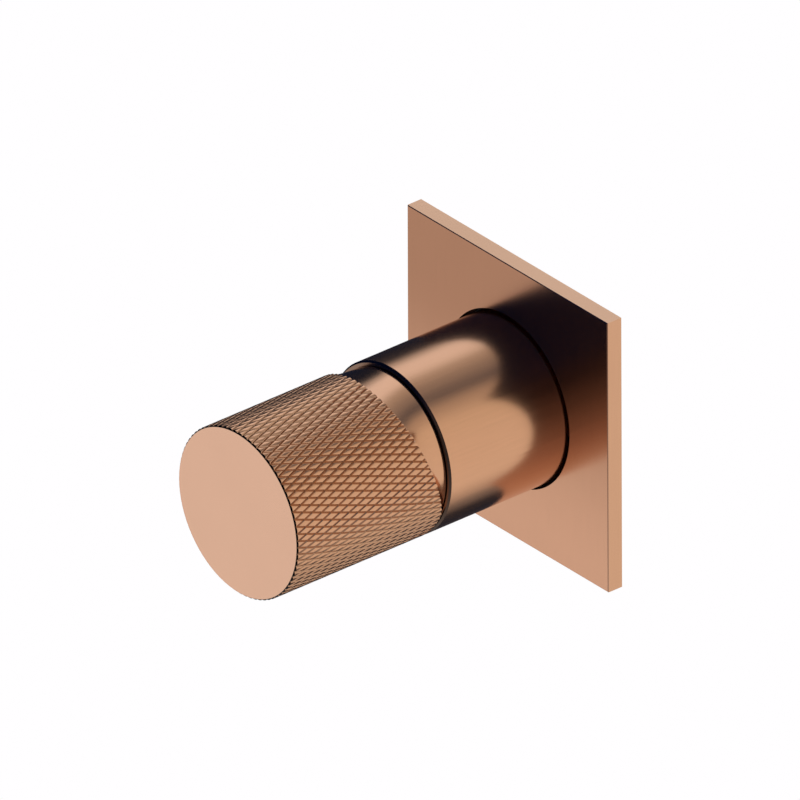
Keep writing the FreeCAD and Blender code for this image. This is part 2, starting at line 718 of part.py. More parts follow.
def spindle_clip():
    """Open retaining clip in front of the stop washer."""
    clip = ring(CLIP_DIAMETER / 2, CLIP_SEAT + SLIP, CLIP_FRONT, CLIP_BACK)
    opening = sector(0, CLIP_DIAMETER, CLIP_FRONT - 1, CLIP_BACK + 1, 90 - CLIP_OPENING / 2, CLIP_OPENING)
    return clip.cut(opening)


def stop_washer():
    """Washer on the spindle's flats, whose finger runs between the stops of the limit ring."""
    washer = rod(SPINDLE_RADIUS + STOP_WASHER_WIDTH, STOP_FRONT, STOP_BACK)
    start = STOP_AT_REST - STOP_FINGER_ANGLE / 2
    inner = SPINDLE_RADIUS + 1
    washer = washer.fuse(sector(inner, STOP_FINGER_RADIUS, STOP_FRONT, STOP_BACK, start, STOP_FINGER_ANGLE))
    hole = rod(SPINDLE_RADIUS + SLIP, STOP_FRONT - 1, STOP_BACK + 1).common(
        block(FLATS_WIDTH + 2 * SLIP, 3 * SPINDLE_RADIUS, STOP_FRONT - 1, STOP_BACK + 1)
    )
    return washer.cut(hole)


def limit_ring():
    """Toothed ring on the housing's neck, with a raised wall that leaves the turn's range open."""
    base = rod(LIMIT_OUTER, HOUSING_FRONT, LIMIT_BACK)
    bore = splined(HOUSING_NECK + SLIP, LIMIT_TOOTH, LIMIT_TEETH, HOUSING_FRONT - 1, LIMIT_BACK + 1)
    ease_angle = math.degrees(EASE / STOP_FINGER_RADIUS)
    open_angle = TURN_RANGE + STOP_FINGER_ANGLE + 2 * ease_angle
    start = STOP_AT_REST + TURN_RANGE + STOP_FINGER_ANGLE / 2 + ease_angle
    wall = sector(STOP_BOSS_INNER, LIMIT_OUTER, STOP_FRONT, HOUSING_FRONT, start, 360 - open_angle)
    return base.cut(bore).fuse(wall)


def slide_washer():
    """Thin washer between the spindle's flange and the end of the housing."""
    return ring(SPINDLE_FLANGE_DIAMETER / 2, SPINDLE_BORE, HOUSING_INSIDE, FLANGE_FRONT)


def disc_driver():
    """Moulded driver between the spindle's tongue and the moving disc."""
    driver = rod(DRIVER_RADIUS, DRIVER_FRONT, MOVING_DISC_FRONT)
    slot = block(
        TONGUE_WIDTH + 2 * SLIP,
        TONGUE_THICKNESS + 2 * SLIP,
        DRIVER_FRONT - 1,
        DRIVER_FRONT + TONGUE_LENGTH + SLIP,
    )
    driver = driver.cut(slot)
    for side in (0, 180):
        dog = sector(
            DOG_INNER_RADIUS,
            DRIVER_RADIUS,
            MOVING_DISC_FRONT,
            MOVING_DISC_FRONT + DOG_HEIGHT,
            side - DOG_ANGLE / 2,
            DOG_ANGLE,
        )
        driver = driver.fuse(dog)
    return driver


def moving_disc():
    """Ceramic disc with notches for the driver and a recess that joins the ports as it turns."""
    disc = rod(MOVING_DISC_RADIUS, MOVING_DISC_FRONT, FIXED_DISC_FRONT)
    for side in (0, 180):
        notch = sector(
            DOG_INNER_RADIUS - SLIP,
            MOVING_DISC_RADIUS + 1,
            MOVING_DISC_FRONT - 1,
            MOVING_DISC_FRONT + DOG_HEIGHT + SLIP,
            side - DOG_ANGLE / 2 - 1,
            DOG_ANGLE + 2,
        )
        disc = disc.cut(notch)
    recess_front = FIXED_DISC_FRONT - RECESS_DEPTH
    recess_back = FIXED_DISC_FRONT + 1
    fan = sector(0, PORT_OUTER_RADIUS, recess_front, recess_back, RECESS_START, RECESS_SWEEP)
    return disc.cut(fan.fuse(rod(CENTRE_PORT_RADIUS, recess_front, recess_back)))


def port_cutters(front, back, wall=0.0):
    """The cold, hot and outlet ports of the cartridge between two depths, wider by a wall."""
    widen = math.degrees(wall / PORT_INNER_RADIUS)
    inner = PORT_INNER_RADIUS - wall
    outer = PORT_OUTER_RADIUS + wall
    cutters = []
    for start in (COLD_PORT_START, HOT_PORT_START):
        cutters.append(sector(inner, outer, front, back, start - widen, PORT_SWEEP + 2 * widen))
    cutters.append(rod(CENTRE_PORT_RADIUS + wall, front, back))
    return cutters


def fixed_disc():
    """Ceramic disc with the three ports, held by two keys of the housing."""
    disc = rod(FIXED_DISC_RADIUS, FIXED_DISC_FRONT, BASE_FRONT)
    for angle in DISC_KEYS:
        notch = sector(
            DISC_KEY_RADIUS - SLIP,
            2 * FIXED_DISC_RADIUS,
            FIXED_DISC_FRONT - 1,
            BASE_FRONT + 1,
            angle - DISC_KEY_ANGLE / 2 - 1,
            DISC_KEY_ANGLE + 2,
        )
        disc = disc.cut(notch)
    return disc.cut(Part.makeCompound(port_cutters(FIXED_DISC_FRONT - 1, BASE_FRONT + 1)))


def seals(front, back):
    """Three shaped seals round the ports."""
    outsides = port_cutters(front, back, SEAL_WALL - SLIP)
    insides = port_cutters(front - 1, back + 1)
    return Part.makeCompound([outside.cut(inside) for outside, inside in zip(outsides, insides)])


def disc_seals():
    """Seals between the fixed disc and the cartridge base."""
    return seals(BASE_FRONT, BASE_FRONT + SEAL_THICKNESS)


def base_seals():
    """Seals between the cartridge base and the floor of the body's chamber."""
    return seals(BASE_BACK - SEAL_THICKNESS, BASE_BACK)


def cartridge_base():
    """Moulded foot of the cartridge, with ports, seal grooves on both sides and locating pegs."""
    base = rod(HOUSING_OUTER, BASE_STEP, BASE_BACK).fuse(rod(HOUSING_INNER - SLIP, BASE_FRONT, BASE_STEP))
    for angle in PEG_ANGLES:
        turn = math.radians(angle)
        peg = rod(
            PEG_RADIUS,
            BASE_STEP,
            BASE_BACK + PEG_LENGTH,
            PEG_CIRCLE * math.cos(turn),
            PEG_CIRCLE * math.sin(turn),
        )
        base = base.fuse(peg)
    base = base.cut(Part.makeCompound(port_cutters(BASE_FRONT - 1, BASE_BACK + 1)))
    base = base.cut(Part.makeCompound(port_cutters(BASE_FRONT - 1, BASE_FRONT + SEAL_THICKNESS, SEAL_WALL)))
    return base.cut(Part.makeCompound(port_cutters(BASE_BACK - SEAL_THICKNESS, BASE_BACK + 1, SEAL_WALL)))


def cartridge_housing():
    """Shell of the cartridge, with a toothed neck for the limit ring and keys for the fixed disc."""
    housing = turned(
        (SPINDLE_BORE, HOUSING_FRONT + LIMIT_RING_THICKNESS),
        (HOUSING_NECK, HOUSING_FRONT + LIMIT_RING_THICKNESS),
        (HOUSING_NECK, HOUSING_SHOULDER),
        (HOUSING_OUTER - EASE, HOUSING_SHOULDER),
        (HOUSING_OUTER, HOUSING_SHOULDER + EASE),
        (HOUSING_OUTER, BASE_STEP),
        (HOUSING_INNER, BASE_STEP),
        (HOUSING_INNER, HOUSING_INSIDE),
        (SPINDLE_BORE, HOUSING_INSIDE),
    )
    teeth = splined(HOUSING_NECK, LIMIT_TOOTH, LIMIT_TEETH, HOUSING_FRONT, LIMIT_BACK)
    teeth = teeth.cut(rod(SPINDLE_BORE, HOUSING_FRONT - 1, LIMIT_BACK + 1))
    housing = housing.fuse(teeth)
    for angle in DISC_KEYS:
        key = sector(
            DISC_KEY_RADIUS,
            HOUSING_INNER + HOUSING_WALL / 2,
            FIXED_DISC_FRONT + EASE,
            BASE_FRONT - EASE,
            angle - DISC_KEY_ANGLE / 2,
            DISC_KEY_ANGLE,
        )
        housing = housing.fuse(key)
    return housing


def cartridge_nut():
    """Hexagon nut that clamps the shoulder of the housing."""
    bore = HOUSING_NECK + NUT_BORE_GAP
    thread = rod(CHAMBER_RADIUS - SLIP, NUT_STEP, HOUSING_SHOULDER)
    flats = 2 * (CHAMBER_RADIUS - NUT_FLATS_INSET)
    start = FreeCAD.Vector(0, NUT_FRONT, 0)
    corner = flats / 2 / math.cos(math.radians(30))
    bevel = turned(
        (0, NUT_FRONT),
        (corner - 1, NUT_FRONT),
        (corner, NUT_FRONT + EASE),
        (corner, NUT_STEP),
        (0, NUT_STEP),
    )
    head = hexagon(flats, start, NUT_HEAD, INTO_WALL).common(bevel)
    return thread.fuse(head).cut(rod(bore, NUT_FRONT - 1, HOUSING_SHOULDER + 1))


# Valve body in the wall

def pipe_arm(direction):
    """A cast arm with a flared root, which ends in a hexagon for a spanner."""
    radius = ARM_DIAMETER / 2
    root = BODY_DIAMETER / 2 - ARM_FLARE
    flare_end = root + 2 * ARM_FLARE
    hex_start = ARM_REACH - ARM_HEX_LENGTH
    halfway = ARM_FLARE * math.sqrt(0.5)
    start = FreeCAD.Vector(radius + ARM_FLARE, 0, flare_end - ARM_FLARE)
    along = FreeCAD.Vector(radius + ARM_FLARE - halfway, 0, flare_end - halfway)
    finish = FreeCAD.Vector(radius, 0, flare_end)
    outline = [
        Part.makeLine(CENTRE, FreeCAD.Vector(radius + ARM_FLARE, 0, 0)),
        Part.makeLine(FreeCAD.Vector(radius + ARM_FLARE, 0, 0), start),
        Part.Arc(start, along, finish).toShape(),
        Part.makeLine(finish, FreeCAD.Vector(radius, 0, hex_start)),
        Part.makeLine(FreeCAD.Vector(radius, 0, hex_start), FreeCAD.Vector(0, 0, hex_start)),
        Part.makeLine(FreeCAD.Vector(0, 0, hex_start), CENTRE),
    ]
    arm = Part.Face(Part.Wire(outline)).revolve(CENTRE, UP, 360)
    corner = ARM_HEX_FLATS / 2 / math.cos(math.radians(30))
    bevel = Part.makeCylinder(corner, ARM_HEX_LENGTH - 1, FreeCAD.Vector(0, 0, hex_start), UP)
    top = FreeCAD.Vector(0, 0, ARM_REACH - 1)
    bevel = bevel.fuse(Part.makeCone(corner, corner - 2, 1, top, UP))
    collar = hexagon(ARM_HEX_FLATS, FreeCAD.Vector(0, 0, hex_start), ARM_HEX_LENGTH, UP).common(bevel)
    arm = arm.fuse(collar)
    centre = FreeCAD.Vector(0, PORT_AXIS_DEPTH, 0)
    arm.Placement = FreeCAD.Placement(centre, FreeCAD.Rotation(UP, direction))
    return arm


def port_hole(direction, passage_end, passage_radius):
    """A threaded port at an arm's end and the passage behind it, as a cutter."""
    centre = FreeCAD.Vector(0, PORT_AXIS_DEPTH, 0)
    mouth = centre + direction * (ARM_REACH + 1)
    inwards = direction * -1
    thread = Part.makeCylinder(PORT_THREAD_RADIUS, PORT_THREAD_LENGTH + 1, mouth, inwards)
    end = centre + direction * passage_end
    passage = Part.makeCylinder(passage_radius, ARM_REACH - passage_end, end, direction)
    return thread.fuse(passage)


def fixing_lug(x_side, z_side):
    """One fixing lug with its web to the body, level with the body's back."""
    front = BODY_BACK - LUG_THICKNESS
    reach = LUG_SPACING / 2
    lug = rod(LUG_RADIUS, front, BODY_BACK, x_side * reach, z_side * reach)
    length = reach * math.sqrt(2)
    web = Part.makeBox(length, LUG_THICKNESS, LUG_WEB, FreeCAD.Vector(0, front, -LUG_WEB / 2))
    return lug.fuse(turned_about_axis(web, math.degrees(math.atan2(z_side, x_side))))


def valve_body():
    """Cast and machined brass body: chamber and threaded neck in front, three ports and four lugs."""
    body_radius = BODY_DIAMETER / 2
    back_radius = BODY_BACK_DIAMETER / 2
    body = turned(
        (0, CHAMBER_MOUTH),
        (BODY_NECK - EASE, CHAMBER_MOUTH),
        (BODY_NECK, CHAMBER_MOUTH + EASE),
        (BODY_NECK, BODY_SHOULDER),
        (body_radius - EASE, BODY_SHOULDER),
        (body_radius, BODY_SHOULDER + EASE),
        (body_radius, PORT_AXIS_DEPTH),
        (back_radius, BODY_BACK - LUG_THICKNESS),
        (back_radius, BODY_BACK),
        (0, BODY_BACK),
    )
    for direction in (RIGHT, RIGHT * -1, UP):
        body = body.fuse(pipe_arm(direction))
    for x_side in (-1, 1):
        for z_side in (-1, 1):
            body = body.fuse(fixing_lug(x_side, z_side))
    hollow = rod(CHAMBER_RADIUS, CHAMBER_MOUTH - 1, CHAMBER_FLOOR)
    for direction in (RIGHT, RIGHT * -1):
        hollow = hollow.fuse(port_hole(direction, INLET_END, PASSAGE_RADIUS))
        x = direction.x * MOVING_DISC_RADIUS * INLET_HOLE_X_SHARE
        z = MOVING_DISC_RADIUS * INLET_HOLE_Z_SHARE
        hollow = hollow.fuse(rod(INLET_HOLE_RADIUS, CHAMBER_FLOOR - 1, PORT_AXIS_DEPTH, x, z))
    hollow = hollow.fuse(port_hole(UP, OUTLET_WIDE_END, PASSAGE_RADIUS))
    feed_bottom = FreeCAD.Vector(0, PORT_AXIS_DEPTH, -CENTRE_PORT_RADIUS - EASE)
    hollow = hollow.fuse(Part.makeCylinder(OUTLET_FEED_RADIUS, OUTLET_WIDE_END + 3 * EASE, feed_bottom, UP))
    hollow = hollow.fuse(rod(CENTRE_PORT_RADIUS, CHAMBER_FLOOR - 1, PORT_AXIS_DEPTH))
    for angle in PEG_ANGLES:
        turn = math.radians(angle)
        x = PEG_CIRCLE * math.cos(turn)
        z = PEG_CIRCLE * math.sin(turn)
        peg_end = CHAMBER_FLOOR + PEG_LENGTH + EASE
        hollow = hollow.fuse(rod(PEG_RADIUS + SLIP, CHAMBER_FLOOR - 1, peg_end, x, z))
    body = body.cut(hollow)
    for x_side in (-1, 1):
        for z_side in (-1, 1):
            x = x_side * LUG_SPACING / 2
            z = z_side * LUG_SPACING / 2
            body = body.cut(rod(LUG_HOLE_RADIUS, BODY_BACK - LUG_THICKNESS - 1, BODY_BACK + 1, x, z))
    return body


PIECES = {
    "wall_plate": wall_plate,
    "plate_gasket": plate_gasket,
    "plate_seal": plate_seal,
    "sleeve": sleeve,
    "sleeve_carrier": sleeve_carrier,
    "sleeve_o_rings": sleeve_o_rings,
    "knob": knob,
    "grub_screw": grub_screw,
    "handle_adapter": handle_adapter,
    "adapter_screw": adapter_screw,
    "cartridge_spindle": cartridge_spindle,
    "spindle_o_ring": spindle_o_ring,
    "spindle_clip": spindle_clip,
    "stop_washer": stop_washer,
    "limit_ring": limit_ring,
    "slide_washer": slide_washer,
    "disc_driver": disc_driver,
    "moving_disc": moving_disc,
    "fixed_disc": fixed_disc,
    "disc_seals": disc_seals,
    "cartridge_base": cartridge_base,
    "base_seals": base_seals,
    "cartridge_housing": cartridge_housing,
    "cartridge_nut": cartridge_nut,
    "valve_body": valve_body,
}

os.makedirs("parts", exist_ok=True)
for name, make in PIECES.items():
    piece = make()
    piece.exportStep(f"parts/{name}.step")
    print(name, piece.isValid(), len(piece.Solids), round(piece.Volume, 1))
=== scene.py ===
import json
import math
import bmesh
import bpy
from mathutils import Matrix, Vector


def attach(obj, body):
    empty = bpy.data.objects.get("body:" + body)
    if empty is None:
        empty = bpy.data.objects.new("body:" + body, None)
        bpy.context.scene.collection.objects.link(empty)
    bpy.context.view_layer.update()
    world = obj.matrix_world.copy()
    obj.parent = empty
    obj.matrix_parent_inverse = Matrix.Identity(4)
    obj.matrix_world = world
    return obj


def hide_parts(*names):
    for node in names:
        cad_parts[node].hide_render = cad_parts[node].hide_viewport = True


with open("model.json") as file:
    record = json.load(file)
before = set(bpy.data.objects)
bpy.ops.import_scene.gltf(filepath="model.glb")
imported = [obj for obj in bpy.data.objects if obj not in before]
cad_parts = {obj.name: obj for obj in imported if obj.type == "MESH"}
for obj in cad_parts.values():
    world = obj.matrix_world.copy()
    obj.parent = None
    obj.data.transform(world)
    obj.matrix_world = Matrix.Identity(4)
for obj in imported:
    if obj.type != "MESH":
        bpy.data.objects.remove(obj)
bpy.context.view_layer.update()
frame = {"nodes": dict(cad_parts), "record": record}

# Concealed shower mixer with a knurled knob: look, light and camera.
# Metres. X is right as seen from the front, Y runs into the wall, Z is up.

# Camera, a parallel view from the front right and above. ORIGIN_AT is where the frame's origin falls, in
# pixels from the top left.
AZIMUTH = 50.0
ELEVATION = 30.07
ROLL = 0.17
PIXELS = 800
PIXELS_PER_METRE = 3886.0
ORIGIN_AT = (521.6, 392.9)
CAMERA_DISTANCE = 1.0
CLIP_NEAR = 0.01
CLIP_FAR = 10.0

# Stage
PANEL_REACH = 0.13
PANEL_BEHIND = 0.0004
PANEL_HOLE = 0.0252
FLOOR_LEVEL = -0.13
FLOOR_RADIUS = 0.6
STAGE_SIDES = 96
BACKGROUND = (1.0, 0.99, 1.0, 1.0)

# Knob, outside. Its face is at KNOB_FRONT, its neck goes into the sleeve.
CREST = 0.023875
GROOVE_FLOOR = CREST - 0.00045
SLEEVE_FRONT = -0.0441
KNOB_FRONT = SLEEVE_FRONT - 0.05135
FIRST_ROW = 0.00045
RIM = 0.0004
TEETH = 75
KNURL_ANGLE = math.radians(19.2)
KNURL_STANDOFF = 0.0012
KNURL_SLANT = math.radians(16.0)
NECK_SHOWN = 0.0040

# The share of a diamond's width and the radius, from its top down to the groove floor
KNURL_LEVELS = ((0.36, CREST), (0.70, CREST - 0.00010), (1.0, GROOVE_FLOOR))

# Flare between knurl and neck. The neck is wider in front of the sleeve than inside it.
FLARE_OUTER = GROOVE_FLOOR - 0.00005
COLLAR_RADIUS = 0.02245
NECK_RADIUS = 0.02135
FLARE_STANDOFF = 0.0003
FLARE_SIDES = 110
FLARE_STEPS = 9

# Knob, inside, as (radius, depth) from the back of the collar to the end of the cavity
GRUB_DEPTH = SLEEVE_FRONT - 0.0053
BORE = NECK_RADIUS - 0.00335
CAVITY = BORE - 0.0025
CAVITY_STEP = GRUB_DEPTH - 0.004
FACE_THICKNESS = 0.004
NECK_BACK = SLEEVE_FRONT + 0.006
NECK_EDGE = 0.0003
KNOB_INSIDE = (
    (NECK_RADIUS, SLEEVE_FRONT - FLARE_STANDOFF),
    (NECK_RADIUS, NECK_BACK - NECK_EDGE),
    (NECK_RADIUS - NECK_EDGE, NECK_BACK),
    (BORE + NECK_EDGE, NECK_BACK),
    (BORE, NECK_BACK - NECK_EDGE),
    (BORE, CAVITY_STEP),
    (CAVITY, CAVITY_STEP),
    (CAVITY, KNOB_FRONT + FACE_THICKNESS),
)

# Hole of the grub screw, a drill that passes both sides of the wall
GRUB_HOLE = 0.00255
DRILL_SIDES = 32
DRILL_OVERRUN = 0.002

# Points closer than TOUCH are one point. Edges sharper than SHARP stay sharp.
TOUCH = 1e-7
SHARP = math.radians(25)

# Copper tones
COPPER = (0.80, 0.435, 0.262)
# Painted shade: the knurl's grooves are darkened towards this copper.
GROOVE_PAINTED_SHADE = (0.58, 0.35, 0.23)
PLATE_COPPER = (0.69, 0.335, 0.182)
# Painted shade: the plate darkens towards this copper at its top.
PLATE_TOP_PAINTED_SHADE = (0.455, 0.200, 0.100)
# Painted light: the plate's sides are lighter, its upper side lightest.
PLATE_SIDE_PAINTED_LIGHT = (0.80, 0.45, 0.28)
PLATE_UPPER_SIDE_PAINTED_LIGHT = (0.98, 0.58, 0.37)
BLACK = (0.0, 0.0, 0.0)

# How rough each copper part is, and how much painted shade darkens its broken edges, the knob's rim and the
# sleeve's end
PLATE_ROUGHNESS = 0.2
TURNED_ROUGHNESS = 0.2
KNURLED_ROUGHNESS = 0.15
ANISOTROPY = 0.5
PAINTED_EDGE_SHADE = 0.15
SLEEVE_END_PAINTED_SHADE = 0.35

# Brushing: lines per metre across and along it, its depth, and how far it changes tone and roughness
BRUSH_FINE = 3200.0
BRUSH_LONG = 60.0
BRUSH_STRENGTH = 0.1
BRUSH_DEPTH = 0.00002
FINE_TONE = 0.14
FINE_ROUGHNESS = 0.08
SLOW_SCALE = 60.0
SLOW_TONE = 0.05

# The part of a normal along the Y axis on broken edges, on flat ends and on the plate's sides, and its
# part along Z on the plate's upper side
EDGE_SLOPE = 0.70
EDGE_SPREAD = 0.15
END_SLOPE = 0.85
SIDE_SLOPE = 0.5
UPPER_SLOPE = 0.9

# The plate's painted shade deepens over this height above and below the axis, with a little wander
PLATE_SHADE_REACH = 0.030
PLATE_SHADE_WANDER = 0.012

# The radius at which a groove's painted shade starts and where it is full
GROOVE_SHADE_START = CREST - 0.00012
GROOVE_SHADE_FULL = CREST - 0.00022

# Other metals, rubbers and plastics: colour, metallic, roughness, grain per metre and grain depth
CAST_LOOKS = {
    "brass": ((0.70, 0.50, 0.22), 1.0, 0.42, 2600.0, 0.00006),
    "steel": ((0.56, 0.57, 0.58), 1.0, 0.28, 5200.0, 0.00001),
    "black_rubber": ((0.018, 0.018, 0.019), 0.0, 0.55, 4200.0, 0.00002),
    "foam": ((0.07, 0.07, 0.075), 0.0, 0.85, 1800.0, 0.00025),
    "grey_plastic": ((0.20, 0.21, 0.23), 0.0, 0.5, 3200.0, 0.00002),
    "white_plastic": ((0.78, 0.78, 0.75), 0.0, 0.45, 3200.0, 0.00002),
    "red_plastic": ((0.42, 0.02, 0.015), 0.0, 0.45, 3200.0, 0.00002),
    "white_ceramic": ((0.84, 0.82, 0.78), 0.0, 0.2, 6000.0, 0.000004),
}
CAST_GRAIN = 0.6
CAST_SLOW_SCALE = 90.0
CAST_SLOW_TONE = 0.3
CAST_SLOW_ROUGHNESS = 0.2

# The studio round the object. Each band is an angle in degrees round the Y axis, from +X over +Z, and
# the light's red, green and blue: one row for light from behind the wall's plane, one for light from
# in front of it.
DARK = (0.008, 0.013, 0.030)
DIM = (0.016, 0.020, 0.034)
DARK_FRONT = (0.003, 0.020, 0.15)
STRAIGHT_FRONT = (0.82, 0.85, 0.90)
LIGHT_FROM_BEHIND = (
    (-180, DARK), (-155, DARK), (-146, (0.16, 0.16, 0.17)), (-134, (0.05, 0.055, 0.07)),
    (-120, DIM), (-92, DIM), (-74, (0.20, 0.20, 0.21)), (-61, (0.56, 0.53, 0.50)),
    (-46, (0.77, 0.75, 0.71)), (0, (0.74, 0.71, 0.66)), (38, (0.70, 0.67, 0.60)),
    (56, (0.50, 0.47, 0.43)), (74, (0.13, 0.14, 0.17)), (90, (0.30, 0.30, 0.31)),
    (104, (0.44, 0.44, 0.43)), (120, (0.86, 0.92, 1.00)), (137, (0.88, 0.94, 1.02)),
    (147, (0.46, 0.48, 0.50)), (154, (0.06, 0.07, 0.09)), (160, DARK), (180, DARK),
)
LIGHT_FROM_FRONT = (
    (-180, DARK_FRONT), (-168, (0.05, 0.06, 0.12)), (-152, (0.84, 0.91, 1.02)),
    (-140, (0.86, 0.94, 1.06)), (-120, (0.84, 0.98, 1.15)), (-95, (0.70, 0.82, 0.96)),
    (-72, (0.58, 0.66, 0.80)), (-50, (0.42, 0.48, 0.62)), (-25, (0.26, 0.31, 0.42)),
    (0, (0.12, 0.15, 0.22)), (30, (0.02, 0.03, 0.08)), (60, DARK_FRONT), (180, DARK_FRONT),
)

# The part of a direction along Y at which each light is full
FRONT_FULL = -0.35
BEHIND_FULL = 0.25
STRAIGHT_START = -0.78
STRAIGHT_FULL = -0.93


# Node helpers

class Tree:
    """A small helper that adds nodes to a node tree and joins them."""

    def __init__(self, tree):
        self.tree = tree
        tree.nodes.clear()

    def add(self, kind, inputs=None, **settings):
        """Adds a node. Inputs are given by name or number, as a value or as another node's output."""
        node = self.tree.nodes.new(kind)
        for name, value in settings.items():
            setattr(node, name, value)
        for name, value in (inputs or {}).items():
            if isinstance(value, bpy.types.NodeSocket):
                self.tree.links.new(value, node.inputs[name])
            else:
                node.inputs[name].default_value = value
        return node

    def math(self, operation, *values):
        """A calculation on one to three values."""
        return self.add("ShaderNodeMath", dict(enumerate(values)), operation=operation).outputs[0]

    def noise(self, place, scale, detail, roughness=0.5):
        """Soft noise from 0 to 1."""
        inputs = {"Vector": place, "Scale": scale, "Detail": detail, "Roughness": roughness}
        return self.add("ShaderNodeTexNoise", inputs).outputs[0]

    def smooth_step(self, value, start, end, low=0.0, high=1.0):
        """A number that runs smoothly from low to high while a value runs from start to end."""
        inputs = {"Value": value, 1: start, 2: end, 3: low, 4: high}
        return self.add("ShaderNodeMapRange", inputs, interpolation_type="SMOOTHSTEP").outputs[0]

    def mix(self, share, first, second, clamp=True):
        """A colour between two others, or past them where the share isn't clamped."""
        ends = [end + (1.0,) if isinstance(end, tuple) else end for end in (first, second)]
        inputs = {0: share, 6: ends[0], 7: ends[1]}
        return self.add("ShaderNodeMix", inputs, data_type="RGBA", clamp_factor=clamp).outputs[2]

    def ramp(self, value, stops, interpolation="LINEAR"):
        """A colour ramp through (place, colour) stops."""
        node = self.add("ShaderNodeValToRGB", {0: value})
        node.color_ramp.interpolation = interpolation
        elements = node.color_ramp.elements
        while len(elements) < len(stops):
            elements.new(1.0)
        for element, (place, colour) in zip(elements, stops):
            element.position = place
        for element, (place, colour) in zip(elements, stops):
            element.color = colour + (1.0,)
        return node.outputs["Color"]


def new_material(name):
    """A new material and its cleared node tree."""
    material = bpy.data.materials.new(name)
    material.use_nodes = True
    return material, Tree(material.node_tree)


def finish_material(tree, shader):
    """Joins a shader to the material's output."""
    tree.add("ShaderNodeOutputMaterial", {"Surface": shader.outputs[0]})


# Materials

def distance_from_axis(tree, parts):
    """The distance of a point from the knob's axis."""
    square = tree.math("MULTIPLY", parts.outputs["X"], parts.outputs["X"])
    return tree.math("SQRT", tree.math("MULTIPLY_ADD", parts.outputs["Z"], parts.outputs["Z"], square))


def brush_lines(tree, place, parts, radius, turned):
    """Coordinates stretched along the brushing: the Y axis on turned pieces and Z on flat ones."""
    if not turned:
        scale = (BRUSH_FINE, BRUSH_FINE, BRUSH_LONG)
        return tree.add("ShaderNodeMapping", {"Vector": place, "Scale": scale}).outputs[0]
    turn = tree.math("ARCTAN2", parts.outputs["Z"], parts.outputs["X"])
    return tree.add("ShaderNodeCombineXYZ", {
        "X": tree.math("MULTIPLY", turn, CREST * BRUSH_FINE),
        "Y": tree.math("MULTIPLY", parts.outputs["Y"], BRUSH_LONG),
        "Z": tree.math("MULTIPLY", radius, BRUSH_FINE),
    }).outputs[0]


def shaded(tree, level, where, shade):
    """A level that is multiplied by a shade where a mask is 1."""
    return tree.math("MULTIPLY", level, tree.math("MULTIPLY_ADD", where, shade - 1.0, 1.0))


def plate_tone(tree, parts, normal, slope, slow):
    """The plate's tones: painted shade slowly deeper towards its top, painted light on its sides, lightest
    on the upper one.
    """
    height = tree.math("MULTIPLY_ADD", slow, PLATE_SHADE_WANDER, parts.outputs["Z"])
    # Painted shade: the plate darkens towards its top.
    higher = tree.smooth_step(height, -PLATE_SHADE_REACH, PLATE_SHADE_REACH)
    tone = tree.mix(higher, PLATE_COPPER, PLATE_TOP_PAINTED_SHADE)
    # Painted light: the plate's sides are lighter, its upper side lightest.
    tone = tree.mix(tree.math("LESS_THAN", slope, SIDE_SLOPE), tone, PLATE_SIDE_PAINTED_LIGHT)
    upper = tree.math("GREATER_THAN", normal.outputs["Z"], UPPER_SLOPE)
    return tree.mix(upper, tone, PLATE_UPPER_SIDE_PAINTED_LIGHT)


def knurl_tone(tree, parts, radius):
    """The knurled knob's tone, duller in the grooves, where painted shade darkens them."""
    on_knurl = tree.math("LESS_THAN", parts.outputs["Y"], SLEEVE_FRONT - KNURL_STANDOFF)
    outside = tree.math("GREATER_THAN", radius, GROOVE_FLOOR - TOUCH)
    deep = tree.smooth_step(radius, GROOVE_SHADE_FULL, GROOVE_SHADE_START, 1.0, 0.0)
    groove = tree.math("MULTIPLY", tree.math("MULTIPLY", on_knurl, outside), deep)
    return tree.mix(groove, COPPER, GROOVE_PAINTED_SHADE)


